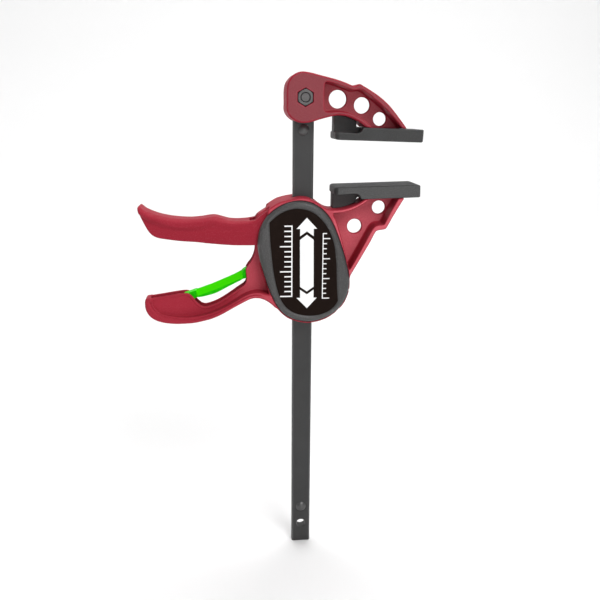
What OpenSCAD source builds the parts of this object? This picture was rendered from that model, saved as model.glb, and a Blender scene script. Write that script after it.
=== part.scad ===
// One-handed trigger bar clamp. All sizes in millimetres.
// Frame: origin at the centre of the hanging hole in the bar's free end, +Z along
// the bar towards the fixed jaw, +X towards the reach of the jaws, +Y to the back.

/* [Bar] */
// Width of the bar, across the plane of the jaws
bar_w = 8; // [7.8:0.05:8.1]
// Thickness of the bar
bar_t = 4; // [3.8:0.05:4.1]
// Chamfer on the bar's long edges
bar_chamfer = 0.5; // [0.2:0.1:0.8]
// Height of the bar's upper end above the hanging hole
bar_top = 190; // [188:0.5:190.2]
// Distance from the hanging hole down to the bar's free end
bar_tail = 8.8; // [6:0.2:12]
// Radius of the hanging hole
hang_r = 2.1; // [1.8:0.1:2.3]
// Height of the lower stop pin
stop_low_z = 8.6; // [7:0.1:10]
// Height of the upper stop pin
stop_high_z = 171.8; // [170:0.1:172]

/* [Jaws] */
// Half the depth of the fixed jaw and the drum, front to back
jaw_h = 8.5; // [8:0.1:8.8]
// Half the thickness of the jaws' web
web_h = 1; // [0.8:0.1:1.5]
// Half the thickness of the handle and of the housing's core
core_h = 3; // [2.8:0.1:3.1]
// Half the depth of the pads
pad_h = 8.5; // [8:0.1:8.5]
// Half the depth of the pads' tongues
tongue_h = 3.1; // [2.8:0.1:3.2]
// Depth of the arm behind the middle of the bar
arm_back = 3; // [2.6:0.1:3.4]
// Height of the plane midway between the two pads
mid_z = 159.4; // [159:0.1:159.8]

/* [Trigger] */
// Half the depth of the trigger's grip
grip_h = 6.5; // [6.2:0.1:6.6]
// Thickness of each cheek of the fork
cheek_t = 3; // [2.5:0.1:3]
// Radius of the trigger's pivot pin
pivot_r = 1.5; // [1.2:0.05:1.6]
// Radial running clearance of the trigger on its pin
run_c = 0.05; // [0.02:0.01:0.1]

/* [Lock] */
// Number of drive plates in the stack
drive_n = 3; // [2:1:3]
// Thickness of one drive plate
drive_t = 1.5; // [1.2:0.1:1.5]
// Thickness of the brake plate
brake_t = 2.4; // [2:0.1:2.4]
// Tilt of the locked brake plate, in degrees
brake_tilt = 7.5; // [7:0.1:7.6]
// Half the width of the release lever
lever_h = 1.9; // [1.7:0.05:1.95]

/* [Hidden] */
$fn = 64;

red = [0.60, 0.13, 0.18];
grey = [0.30, 0.30, 0.31];
dark = [0.20, 0.20, 0.21];
steel = [0.62, 0.63, 0.65];
green = [0.20, 0.80, 0.05];

bx = bar_w / 2;
by = bar_t / 2;
slide_c = 0.2;          // clearance of the body's guides around the bar
screw_z = 183.6;        // height of the screw that holds the fixed jaw
cover_in = 7.0;         // depth of the covers' seats
cover_out = 9.6;        // outer face of the covers
pivot = [7, 133.5];     // trigger pivot, x and z
nose = [-2, 128];       // centre of the rounded noses that push the drive plates
nose_r = 1.5;
drive_top = nose[1] - nose_r - 0.15;
drive_bottom = drive_top - drive_n * drive_t;
shelf_top = 112.4;      // shelf that carries the drive spring
shelf_bottom = 110.7;
floor_z = 99.6;         // floor that carries the brake spring
fulcrum = [10.8, 106.5];
lever_pivot = [-46.5, 105.6];
screws = [[-6.4, 142.9], [5.4, 140.6], [14.6, 112.5], [8.4, 101.2], [-7.6, 102.5]];
screw_r = 0.8;

// ---- curves -------------------------------------------------------------
// A closed smooth outline through hand-set points. A point given twice is a corner.
function cr(a, b, c, d, t) = 0.5 * ((2 * b) + (c - a) * t
    + (2 * a - 5 * b + 4 * c - d) * t * t + (3 * b - a - 3 * c + d) * t * t * t);
function smooth(p, n = 3) = let (m = len(p))
    [for (i = [0:m - 1]) if (p[i] != p[(i + 1) % m])
        for (k = [0:n - 1])
            cr(p[(i + m - 1) % m], p[i], p[(i + 1) % m], p[(i + 2) % m], k / n)];

// Extrudes an outline drawn in x and z between two values of y.
module slab(y0, y1) translate([0, y1, 0]) rotate([90, 0, 0]) linear_extrude(y1 - y0) children();
// The same slab on both sides of the middle plane.
module both(y0, y1) { slab(-y1, -y0) children(); slab(y0, y1) children(); }
// A round bar or hole along y.
module along_y(c, r, y0, y1, fn = 64)
    translate([c[0], y1, c[1]]) rotate([90, 0, 0]) cylinder(r = r, h = y1 - y0, $fn = fn);
module block(x0, x1, y0, y1, z0, z1) translate([x0, y0, z0]) cube([x1 - x0, y1 - y0, z1 - z0]);

// ---- outlines, x and z --------------------------------------------------
fixed_outline = [[-7, 186], [-6.5, 188.8], [-5, 191], [-3.2, 192.2], [-1, 192.7], [2, 192.3], [5, 191.6],
    [8, 190.9], [12, 189.9], [15, 188.9], [17, 188.1], [18.3, 187.8], [19.3, 188.3], [20.2, 188.5],
    [21.5, 187.9], [24, 186.5], [28, 184], [32, 180.6], [36, 176], [38.8, 172.5], [38.8, 172.5],
    [23.2, 172.9], [23.2, 172.9], [21.7, 174.1], [20, 175.15], [18, 176.15], [15.5, 177], [12.5, 177.25], [9.5, 176.75],
    [6, 175.85], [3, 174.95], [-0.5, 174.4], [-3.5, 175], [-5.8, 176.7], [-7, 179], [-7, 182]];
fixed_pocket = [[7, 187.5], [7.6, 189], [9, 189], [12, 188.2], [16, 186.8], [17.8, 186.3], [20.4, 186.6],
    [22, 186], [26, 183.2], [30, 180], [34, 176], [36.8, 172.8], [38, 171], [38, 171], [27, 171], [27, 171],
    [24.2, 174], [22, 175.6], [20, 176.7], [16, 178.2], [12, 178.6], [8.6, 178.4], [7.3, 179], [7, 181]];
fixed_holes = [[13.1, 183.15, 3.4], [22.5, 180.95, 3.05], [29.6, 175.95, 2.55]];

drum_outline = [[-14.1, 142.3], [-14.1, 142.3], [-12, 143.7], [-10, 144.85], [-8, 145.5], [-6, 145.95], [-4, 146.3],
    [-1.5, 146.75], [1, 146.6], [3, 145.8], [4.6, 144.6], [6.3, 143.1], [8, 141.8], [9.8, 140.6], [11.3, 139.4],
    [12.4, 137.4], [13.6, 133.5],
    [15.5, 127], [16.9, 121.5], [17.9, 117], [18.4, 113], [18.2, 109.8], [17.2, 106.4], [15.6, 103.5],
    [13, 100.8], [10, 98.6], [7, 97.3], [4, 96.6], [1, 96.4], [-3, 97.2], [-6.6, 98.7], [-9.3, 101],
    [-11.4, 103.6], [-12.9, 106.7], [-14, 109.5], [-15.4, 114], [-16.6, 118], [-17, 120], [-17, 120]];
arm_outline = [[3.2, 144.4], [3.2, 144.4], [4.4, 144.95], [5.9, 143.95], [7.4, 143.05], [8.8, 142.4], [10, 142.1],
    [12, 142], [14, 142.1], [15.6, 142.4], [17.6, 142.95], [19.8, 143.8], [21.8, 144.85], [23.5, 145.95], [23.5, 145.95], [39, 146.3], [39, 146.3], [37, 143], [35, 139.5], [33, 135.8],
    [32.3, 134.6], [31.3, 134.1], [29.2, 133.8], [28, 133], [26, 129], [24, 125.4], [22, 121.8], [20, 118.3],
    [18, 114.8], [18, 114.8], [13, 116], [13, 116]];
arm_pocket = [[11.4, 140.6], [12.4, 140.75], [14, 140.85], [15.6, 141.1], [18, 141.75], [20, 142.6], [22, 143.7],
    [24.2, 145.1], [27, 147.5],
    [27, 147.5], [37.2, 147.5], [37.2, 147.5], [36.5, 146], [34, 141.5], [31.8, 137], [31, 136.1], [28.6, 135.8],
    [27, 134.6], [25, 131], [22, 125.2], [19.5, 120.6], [18.2, 118.4], [17.6, 118.6], [16.9, 122], [15.6, 127], [14, 132.4],
    [12.5, 137], [11.3, 139.6]];
arm_holes = [[20.9, 134.4, 2.9], [30.5, 141.9, 2.65]];

handle_under = [[-11.2, 102.8], [-12.6, 104], [-14, 105.2], [-16.4, 106.5], [-18.5, 106.9], [-21, 106.6], [-24, 105.1],
    [-28, 102.85], [-32, 100.5], [-36, 98.55], [-40, 97.35], [-44, 96.5], [-48, 96.15], [-52, 96.1], [-56, 96.5],
    [-59, 97.4], [-61.3, 98.9], [-62.6, 100.9], [-63.1, 103.1], [-63, 105.4]];
handle_top = [[-62.4, 106.3], [-60, 106.6], [-56, 107.2], [-51, 108], [-47.6, 108.4], [-45.9, 108.2],
    [-44.4, 107.1], [-43.2, 105.4], [-42, 104], [-40.5, 102.9], [-38.4, 102.8], [-34.3, 104.3], [-30, 106.9],
    [-26, 109.7], [-23.5, 111.5], [-22.7, 113.4], [-22.8, 116], [-22.8, 118], [-21.9, 119.6], [-20.7, 121.1],
    [-19.7, 123.2], [-19.2, 125.2], [-19.1, 128], [-19.2, 132], [-19, 137], [-18.4, 139], [-17.2, 140.1],
    [-15.5, 141.2], [-14, 142.1], [-12, 143.1], [-12, 143.1], [-6, 138], [-6, 138], [0, 110], [0, 110]];
core_outline = concat(handle_top, handle_under);
rim_inner = [[-15.4, 108.8], [-18, 109.2], [-21, 108.9], [-24, 107.6], [-28, 105.1], [-32, 102.9], [-36, 101.1],
    [-40, 99.9], [-44, 99.1], [-48, 98.9], [-52, 99.2], [-56, 100.1], [-58.4, 101.6], [-59.9, 103.9],
    [-60.3, 106.3]];
rim_outline = concat([for (i = [0:len(handle_under) - 1]) handle_under[i]], [[-62.4, 106.3], [-62.4, 106.3]],
    [for (i = [len(rim_inner) - 1:-1:0]) rim_inner[i]], [[-9.5, 108], [-9.5, 108], [-9.5, 102.6], [-9.5, 102.6]]);
rim_plan = [[-64, 3.4], [-60, 4.2], [-50, 5.4], [-30, 7], [-14, 8.4], [-8, 8.5]];
handle_slot = [[-60.8, 114], [-60.8, 104.8], [-58.8, 102.8], [-54, 101.8], [-48, 101.5], [-43, 101.4],
    [-38.4, 101.6], [-34.3, 103.1], [-30, 105.7], [-26, 108.6], [-22, 110.6], [-16, 110.2], [-11.1, 108.6],
    [-8.2, 107], [-8.2, 112.6], [-7, 113], [-7, 134], [-9.5, 136.8], [-12, 137.6], [-16.4, 138], [-24, 138], [-64, 114]];
fork_room = [[-26, 120.3], [-9, 120.3], [-9, 127], [10.9, 127], [11.1, 131], [10.9, 135], [9.6, 137.6],
    [7, 138.6], [3, 138.9], [-3, 139.6], [-8, 140.9], [-10.2, 142], [-12.4, 142.6], [-14.6, 142.6], [-26, 142.6]];

cover_outline = [[-18.2, 129], [-18, 126], [-17.3, 122], [-16.3, 118.5], [-15, 114], [-13.6, 109.8], [-12.4, 107],
    [-11, 104.2], [-9, 101.5], [-6.4, 99.3], [-3, 97.8], [1, 97], [4, 97.2], [7, 97.9], [10, 99.2], [13, 101.3],
    [15.4, 104], [17, 107], [17.9, 110.3], [18.1, 113.5], [17.7, 117], [16.9, 120.5], [15.8, 124.4], [14.3, 129],
    [12.7, 133.2], [11, 137], [9, 140.1], [6.5, 142.55], [3.5, 144.45], [0, 145.45], [-3, 145.55], [-6, 145],
    [-9, 143.85], [-12, 142], [-14.5, 139.6], [-16.5, 136.5], [-17.7, 133.2]];
label_outline = [[-13.6, 137.4], [-13.6, 137.4], [-13.3, 130], [-12.8, 124], [-12.1, 118], [-11, 112.2],
    [-9.5, 107.2], [-7.4, 103.8], [-4.5, 101.4], [-1, 100.2], [3, 99.8], [7, 100.4], [10.3, 101.9], [12.5, 104],
    [13.5, 105.8], [13.5, 105.8], [13, 112], [12.7, 119], [12.3, 124], [11.6, 128.5], [10.4, 132.3], [8.6, 135.7],
    [6.4, 138.5], [3.5, 140.9], [0, 142.3], [-4, 142.6], [-8, 141.5], [-11, 139.7]];

pad_profile = [[11.6, 171.1], [11.4, 170.6], [11.4, 169.3], [11.7, 168.6], [12.4, 168.3], [12.4, 168.3],
    [44.4, 167.4], [44.4, 167.4], [45, 167.6], [45.2, 168.2], [45.4, 171.6], [45.1, 172.1], [44.6, 172.2],
    [44.6, 172.2], [22.4, 172.85], [22.4, 172.85], [21.8, 172.5], [21.5, 171.8], [21, 171.2], [20.2, 170.85],
    [19, 170.8], [19, 170.8], [12.2, 171.2], [12.2, 171.2]];
upper_tongue = [[11.5, 170.3], [11.5, 176.95], [12.5, 177.1], [14, 177.05], [15.5, 176.9], [16.8, 176.5], [18, 176.05],
    [20, 175.05], [20.2, 174.9], [20.2, 173.3], [20.8, 172.9], [22, 172.3], [22, 170.3]];
lower_tongue = [[11.5, 148.5], [11.5, 142.07], [12, 142.04], [14, 142.14], [15.6, 142.44], [17.6, 142.99],
    [19.8, 143.84], [20.6, 144.26], [20.6, 145.3], [21.2, 146], [22, 146.5], [22, 148.5]];
pad_plan = [[11.4, 6], [12.2, 7.8], [14, pad_h], [44.8, pad_h], [45.4, pad_h - 0.6]];

grip_outline = [[-63.8, 142.6], [-63.2, 143.3], [-62.3, 142.6], [-61, 141.6], [-59, 140.75], [-56, 139.7],
    [-52, 138.8], [-48, 138.3], [-44, 138.15], [-40, 138.4], [-37, 138.9], [-34.6, 139.1], [-32, 138.5], [-29, 137.6], [-25.5, 137.3],
    [-21, 137.6], [-21, 137.6], [-21, 128.1], [-21, 128.1], [-26, 128], [-30, 128.2], [-34, 128.5], [-38, 128.8],
    [-42, 129.25], [-46, 129.55], [-50, 129.95], [-54, 130.55], [-56.6, 131.05], [-58.8, 132.2], [-60.4, 134.2],
    [-62, 137.5], [-63.2, 140.5]];
grip_hollow = [[-57.6, 126], [-57.6, 126], [-58.4, 134.6], [-58, 136.4], [-56, 137], [-52, 136.3], [-48, 135.9], [-44, 135.7],
    [-40, 136], [-35, 136.5], [-31, 135.7], [-26, 134.9], [-19, 134.9], [-19, 134.9], [-19, 126], [-19, 126]];
cheek_outline = [[-23, 128.1], [-23, 128.1], [-15, 128.2], [-12.2, 129.2], [-8, 130.2], [-5.2, 129.8], [-4, 128.8],
    [-3.3, 128], [-3.3, 128], [-1, 128.6], [1.4, 129.6], [4, 130.3], [7, 130], [7, 130], [9.4, 131.2],
    [10.4, 133.5], [9.4, 135.9], [7, 137], [7, 137], [3, 137.8], [-3, 138.6], [-8, 139.9], [-10.5, 141],
    [-12.6, 141.6], [-14.4, 141.3], [-16.4, 139.9], [-18, 138.5], [-20, 137.7], [-23, 137.5], [-23, 137.5]];

lever_outline = [[-48.5, 106.2], [-47.6, 107.6], [-46, 108.2], [-44.6, 108.7], [-40.5, 110.1], [-36.3, 111.6],
    [-32.2, 113.3], [-28, 115.1], [-25, 116.6], [-23.4, 117.6], [-21.4, 118.2], [-18, 117.6], [-13, 115.4], [-9.6, 113],
    [-8.7, 111.7], [-8.9, 110.8], [-9.6, 110.55], [-10.6, 111.1], [-13, 112.4], [-17, 113.5], [-21, 113.8],
    [-23.5, 113.7], [-26, 112.7], [-30, 110.7], [-34, 108.6], [-36.4, 107.7], [-40, 106.8], [-42.8, 106.3],
    [-44.2, 105], [-45.6, 103.9], [-47.2, 103.9], [-48.4, 104.9]];
lever_plan = [[-50, lever_h], [-43.2, lever_h], [-41.6, lever_h + 0.9], [-25.2, lever_h + 0.9],
    [-24, lever_h], [-7, lever_h]];

// A plan outline in x and y, mirrored about the middle plane.
module plan(p, z0, z1) translate([0, 0, z0]) linear_extrude(z1 - z0)
    polygon(concat(p, [for (i = [len(p) - 1:-1:0]) [p[i][0], -p[i][1]]]));

// ---- coil springs -------------------------------------------------------
// A round-wire coil around the z axis. tip is how much the upper end leans with -x.
function coil_mid(a, r, z0, z1, turns, tip) = let (s = a / (360 * turns))
    [r * cos(a), r * sin(a), z0 + (z1 - z0) * s - tip * s * r * cos(a)];
module coil(r, wire, z0, z1, turns, tip = 0, sides = 8, per = 22) {
    n = round(turns * per);
    c = [for (i = [0:n]) coil_mid(i * 360 * turns / n, r, z0 + wire, z1 - wire, turns, tip)];
    pts = [for (i = [0:n]) let (a = i * 360 * turns / n)
        for (k = [0:sides - 1]) let (b = k * 360 / sides)
            c[i] + wire * (cos(b) * [cos(a), sin(a), 0] + sin(b) * [0, 0, 1])];
    faces = concat([[for (k = [0:sides - 1]) k]],
        [for (i = [0:n - 1], k = [0:sides - 1])
            [i * sides + k, (i + 1) * sides + k, (i + 1) * sides + (k + 1) % sides, i * sides + (k + 1) % sides]],
        [[for (k = [sides - 1:-1:0]) n * sides + k]]);
    polyhedron(pts, faces, convexity = 10);
}

// ---- bar and stop pins --------------------------------------------------
module bar_section() {
    c = bar_chamfer;
    polygon([[-bx + c, -by], [bx - c, -by], [bx, -by + c], [bx, by - c], [bx - c, by], [-bx + c, by],
        [-bx, by - c], [-bx, -by + c]]);
}
module bar() color(dark) difference() {
    translate([0, 0, -bar_tail]) linear_extrude(bar_top + bar_tail) bar_section();
    along_y([0, 0], hang_r, -by - 1, by + 1);
    along_y([0, stop_low_z], 1.6, -by - 1, by + 1);
    along_y([0, stop_high_z], 1.6, -by - 1, by + 1);
    along_y([0, screw_z], 1.6, -by - 1, by + 1);
}
module stop_pin(z) {
    along_y([0, z], 1.6, -by, by);
    for (s = [0, 1]) mirror([0, s, 0]) intersection() {
        translate([0, -by - 1.1 + 2.75, z]) sphere(r = 2.75);
        along_y([0, z], 2.3, -by - 1.2, -by);
    }
}
module upper_stop_pin() color(grey) stop_pin(stop_high_z);
module lower_stop_pin() color(grey) stop_pin(stop_low_z);

// ---- fixed jaw ----------------------------------------------------------
module hex(af, y0, y1) translate([0, y1, screw_z]) rotate([90, 0, 0]) rotate([0, 0, 30])
    cylinder(r = af / 2 / cos(30), h = y1 - y0, $fn = 6);
module fixed_jaw() color(red) difference() {
    union() {
        slab(-jaw_h, jaw_h) polygon(smooth(fixed_outline));
        block(25, 37, -2.4, 2.4, 170.3, 172.9);
    }
    both(web_h, jaw_h + 1) polygon(smooth(fixed_pocket));
    for (h = fixed_holes) along_y([h[0], h[1]], h[2], -4, 4);
    block(-bx - 0.05, bx + 0.05, -by - 0.05, by + 0.05, 170, bar_top + 0.3);
    along_y([0, screw_z], 1.6, -jaw_h - 1, jaw_h + 1);
    hex(5.9, -jaw_h - 1, -jaw_h + 2.7);
    along_y([0, screw_z], 3.1, jaw_h - 2.2, jaw_h + 1);
}
module fixed_jaw_nut() color(steel) difference() {
    intersection() {
        hex(5.5, -jaw_h + 0.1, -jaw_h + 2.6);
        translate([0, -jaw_h + 2.7, screw_z]) rotate([90, 0, 0]) cylinder(r1 = 4.9, r2 = 2.9, h = 3.5);
    }
    along_y([0, screw_z], 1.5, -jaw_h - 1, -jaw_h + 3);
}
module fixed_jaw_screw() color(steel) {
    along_y([0, screw_z], 1.5, -jaw_h + 0.2, jaw_h - 2);
    difference() {
        along_y([0, screw_z], 2.8, jaw_h - 2.2, jaw_h - 0.1);
        translate([0, jaw_h, screw_z]) rotate([90, 0, 0]) cylinder(r = 1.45, h = 1.4, $fn = 6);
    }
}

// ---- pads ---------------------------------------------------------------
module pad_solid() difference() {
    intersection() {
        slab(-pad_h, pad_h) polygon(smooth(pad_profile, 3));
        plan(pad_plan, 160, 180);
    }
    block(24.9, 37.1, -2.5, 2.5, 170.2, 174);
}
module fixed_jaw_pad() color(dark) {
    pad_solid();
    slab(-tongue_h, tongue_h) polygon(upper_tongue);
}
module moving_jaw_pad() color(dark) {
    translate([0, 0, 2 * mid_z]) mirror([0, 0, 1]) pad_solid();
    slab(-tongue_h, tongue_h) polygon(lower_tongue);
}

// ---- moving jaw body ----------------------------------------------------
module bar_way() block(-bx - slide_c, bx + slide_c, -by - slide_c, by + slide_c, 90, 150);
module moving_jaw_body() color(red) difference() {
    union() {
        slab(-jaw_h, jaw_h) polygon(smooth(drum_outline));
        // the arm is deep in front and shallow behind its web
        difference() {
            slab(-jaw_h, arm_back) polygon(smooth(arm_outline));
            both(web_h, jaw_h + 1) polygon(smooth(arm_pocket));
        }
        slab(-core_h, core_h) polygon(smooth(core_outline));
        intersection() {
            slab(-jaw_h, jaw_h) polygon(smooth(rim_outline));
            plan(rim_plan, 90, 112);
        }
        block(25, 37, -2.4, 2.4, 145.9, 148.5);
    }
    // seats of the two covers
    both(cover_in, jaw_h + 1) polygon(smooth(cover_outline));
    // room for the fork of the trigger, on both sides of the core
    both(core_h + 0.2, cover_in + 0.01) polygon(fork_room);
    // drive plates, brake plate and brake spring
    block(-9.3, 12, -cover_in - 0.01, cover_in + 0.01, shelf_top, 127.4);
    slab(-cover_in - 0.01, cover_in + 0.01) polygon([[-11.1, 105], [-11.1, shelf_bottom], [9.6, shelf_bottom],
        [9.6, 108.2], [12.3, 108.2], [12.3, 104.9], [9.6, 104.9], [6.4, 104.2], [-6.4, 104.2]]);
    translate([0, 0, floor_z]) cylinder(r = 6.2, h = 5.4);
    // slot of the release lever, from the handle into the housing
    slab(-lever_h - 0.25, lever_h + 0.25) polygon(handle_slot);
    along_y(lever_pivot, 1.25, -lever_h - 0.65, lever_h + 0.65);
    bar_way();
    along_y(pivot, pivot_r, -4, 4);
    for (s = screws) along_y(s, screw_r + 0.05, -cover_in - 0.1, cover_in + 0.1, 32);
    for (h = arm_holes) along_y([h[0], h[1]], h[2], -4, 4);
}

// ---- covers and label ---------------------------------------------------
module cover_plate() slab(-cover_out, -cover_in) polygon(smooth(cover_outline));
module front_cover() color(grey) difference() {
    cover_plate();
    slab(-cover_out - 1, -cover_out + 0.45) polygon(smooth(label_outline));
    for (s = screws) along_y(s, screw_r + 0.02, -8.8, -cover_in + 0.1, 32);
}
module front_label() color([0.1, 0.09, 0.08])
    slab(-cover_out + 0.25, -cover_out + 0.45) polygon(smooth(label_outline));
module rear_cover() color(grey) difference() {
    mirror([0, 1, 0]) cover_plate();
    slab(cover_out - 0.45, cover_out + 1) polygon(smooth(label_outline));
    for (s = screws) {
        along_y(s, screw_r + 0.05, cover_in - 0.1, cover_out + 1, 32);
        along_y(s, 1.4, cover_out - 1.7, cover_out + 1, 32);
    }
}
module cover_screws() color(steel) for (s = screws) {
    along_y(s, screw_r, -8.7, cover_out - 1.6, 32);
    difference() {
        along_y(s, 1.3, cover_out - 1.7, cover_out - 0.7, 32);
        translate([s[0], cover_out - 1.1, s[1]]) for (a = [45, 135])
            rotate([0, a, 0]) translate([-0.85, -0.2, -0.17]) cube([1.7, 1.4, 0.34]);
    }
}

// ---- trigger ------------------------------------------------------------
module trigger() color(red) difference() {
    union() {
        difference() {
            slab(-grip_h, grip_h) polygon(smooth(grip_outline));
            slab(-grip_h + 2.2, grip_h - 2.2) polygon(smooth(grip_hollow));
        }
        both(grip_h - cheek_t, grip_h) polygon(smooth(cheek_outline));
        for (s = [-1, 1]) along_y(nose, nose_r, s * (grip_h - cheek_t / 2) - cheek_t / 2,
            s * (grip_h - cheek_t / 2) + cheek_t / 2);
    }
    along_y(pivot, pivot_r + run_c, -grip_h - 1, grip_h + 1);
}
module trigger_pivot_pin() color(steel) along_y(pivot, pivot_r, -cover_in + 0.1, cover_in - 0.1);

// ---- drive --------------------------------------------------------------
module drive_plates() color(steel) for (i = [0:drive_n - 1]) difference() {
    block(-6, 9, -6.2, 6.2, drive_bottom + i * drive_t + 0.02, drive_bottom + (i + 1) * drive_t - 0.02);
    block(-bx - 0.15, bx + 0.15, -by - 0.15, by + 0.15, 110, 130);
    for (x = [-6, 9], y = [-6.2, 6.2]) translate([x, y, 124]) rotate([0, 0, 45]) cube([1.4, 1.4, 12], center = true);
}
module drive_spring() color(steel) coil(5.3, 0.45, shelf_top, drive_bottom, 5.5);

// ---- brake --------------------------------------------------------------
module brake_plate() color(steel) translate([fulcrum[0], 0, fulcrum[1]]) rotate([0, brake_tilt, 0]) difference() {
    union() {
        block(-21.5, 0, -5, 5, -brake_t / 2, brake_t / 2);
        along_y([0, 0], brake_t / 2, -5, 5);
    }
    translate([-fulcrum[0] / cos(brake_tilt), 0, 0]) cube([8.7, bar_t + 0.4, 10], center = true);
    for (y = [-5, 5]) translate([-21.5, y, 0]) rotate([0, 0, 45]) cube([2, 2, 10], center = true);
}
brake_under = fulcrum[1] + fulcrum[0] * tan(brake_tilt) - brake_t / 2 / cos(brake_tilt);
module brake_spring() color(steel)
    coil(5.3, 0.4, floor_z, brake_under - 0.06, 3.5, tan(brake_tilt));

// ---- release lever ------------------------------------------------------
module release_lever() color(green) union() {
    intersection() {
        slab(-4, 4) polygon(smooth(lever_outline));
        plan(lever_plan, 100, 125);
    }
    along_y(lever_pivot, 1.2, -lever_h - 0.6, lever_h + 0.6);
}

bar();
upper_stop_pin();
lower_stop_pin();
fixed_jaw();
fixed_jaw_screw();
fixed_jaw_nut();
fixed_jaw_pad();
moving_jaw_body();
moving_jaw_pad();
front_cover();
front_label();
rear_cover();
cover_screws();
trigger();
trigger_pivot_pin();
drive_plates();
drive_spring();
brake_plate();
brake_spring();
release_lever();
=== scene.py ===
import math
import bpy
import numpy as np
from mathutils import Matrix, Vector


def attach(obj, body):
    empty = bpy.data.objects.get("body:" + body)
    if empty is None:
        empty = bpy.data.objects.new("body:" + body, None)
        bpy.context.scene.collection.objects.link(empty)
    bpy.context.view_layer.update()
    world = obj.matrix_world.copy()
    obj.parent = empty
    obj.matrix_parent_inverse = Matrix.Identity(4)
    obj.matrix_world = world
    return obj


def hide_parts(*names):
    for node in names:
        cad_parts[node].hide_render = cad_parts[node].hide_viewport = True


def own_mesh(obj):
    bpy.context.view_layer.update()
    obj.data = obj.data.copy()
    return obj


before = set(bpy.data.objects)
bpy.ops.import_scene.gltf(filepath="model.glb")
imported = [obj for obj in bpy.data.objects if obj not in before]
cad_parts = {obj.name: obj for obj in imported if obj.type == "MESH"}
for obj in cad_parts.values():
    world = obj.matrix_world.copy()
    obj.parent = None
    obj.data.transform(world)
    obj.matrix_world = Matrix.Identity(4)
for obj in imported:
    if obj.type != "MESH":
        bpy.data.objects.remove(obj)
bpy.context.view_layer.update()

MM = 0.001
F4 = np.float32

# ------------------------------------------------------------------ outlines (x, z), mm
fixed_outline = [[-7, 186], [-6.5, 188.8], [-5, 191], [-3.2, 192.2], [-1, 192.7], [2, 192.3], [5, 191.6],
    [8, 190.9], [12, 189.9], [15, 188.9], [17, 188.1], [18.3, 187.8], [19.3, 188.3], [20.2, 188.5],
    [21.5, 187.9], [24, 186.5], [28, 184], [32, 180.6], [36, 176], [38.8, 172.5], [38.8, 172.5],
    [23.2, 172.9], [23.2, 172.9], [21.7, 174.1], [20, 175.15], [18, 176.15], [15.5, 177], [12.5, 177.25], [9.5, 176.75],
    [6, 175.85], [3, 174.95], [-0.5, 174.4], [-3.5, 175], [-5.8, 176.7], [-7, 179], [-7, 182]]
fixed_pocket = [[7, 187.5], [7.6, 189], [9, 189], [12, 188.2], [16, 186.8], [17.8, 186.3], [20.4, 186.6],
    [22, 186], [26, 183.2], [30, 180], [34, 176], [36.8, 172.8], [38, 171], [38, 171], [27, 171], [27, 171],
    [24.2, 174], [22, 175.6], [20, 176.7], [16, 178.2], [12, 178.6], [8.6, 178.4], [7.3, 179], [7, 181]]
fixed_holes = [[13.1, 183.15, 3.4], [22.5, 180.95, 3.05], [29.6, 175.95, 2.55]]
drum_outline = [[-14.1, 142.3], [-14.1, 142.3], [-12, 143.7], [-10, 144.85], [-8, 145.5], [-6, 145.95], [-4, 146.3],
    [-1.5, 146.75], [1, 146.6], [3, 145.8], [4.6, 144.6], [6.3, 143.1], [8, 141.8], [9.8, 140.6], [11.3, 139.4],
    [12.4, 137.4], [13.6, 133.5],
    [15.5, 127], [16.9, 121.5], [17.9, 117], [18.4, 113], [18.2, 109.8], [17.2, 106.4], [15.6, 103.5],
    [13, 100.8], [10, 98.6], [7, 97.3], [4, 96.6], [1, 96.4], [-3, 97.2], [-6.6, 98.7], [-9.3, 101],
    [-11.4, 103.6], [-12.9, 106.7], [-14, 109.5], [-15.4, 114], [-16.6, 118], [-17, 120], [-17, 120]]
arm_outline = [[3.2, 144.4], [3.2, 144.4], [4.4, 144.95], [5.9, 143.95], [7.4, 143.05], [8.8, 142.4], [10, 142.1],
    [12, 142], [14, 142.1], [15.6, 142.4], [17.6, 142.95], [19.8, 143.8], [21.8, 144.85], [23.5, 145.95], [23.5, 145.95], [39, 146.3], [39, 146.3], [37, 143], [35, 139.5], [33, 135.8],
    [32.3, 134.6], [31.3, 134.1], [29.2, 133.8], [28, 133], [26, 129], [24, 125.4], [22, 121.8], [20, 118.3],
    [18, 114.8], [18, 114.8], [13, 116], [13, 116]]
arm_pocket = [[11.4, 140.6], [12.4, 140.75], [14, 140.85], [15.6, 141.1], [18, 141.75], [20, 142.6], [22, 143.7],
    [24.2, 145.1], [27, 147.5],
    [27, 147.5], [37.2, 147.5], [37.2, 147.5], [36.5, 146], [34, 141.5], [31.8, 137], [31, 136.1], [28.6, 135.8],
    [27, 134.6], [25, 131], [22, 125.2], [19.5, 120.6], [18.2, 118.4], [17.6, 118.6], [16.9, 122], [15.6, 127],
    [14, 132.4], [12.5, 137], [11.3, 139.6]]
arm_holes = [[20.9, 134.4, 2.9], [30.5, 141.9, 2.65]]
handle_under = [[-11.2, 102.8], [-12.6, 104], [-14, 105.2], [-16.4, 106.5], [-18.5, 106.9], [-21, 106.6], [-24, 105.1],
    [-28, 102.85], [-32, 100.5], [-36, 98.55], [-40, 97.35], [-44, 96.5], [-48, 96.15], [-52, 96.1], [-56, 96.5],
    [-59, 97.4], [-61.3, 98.9], [-62.6, 100.9], [-63.1, 103.1], [-63, 105.4]]
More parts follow.
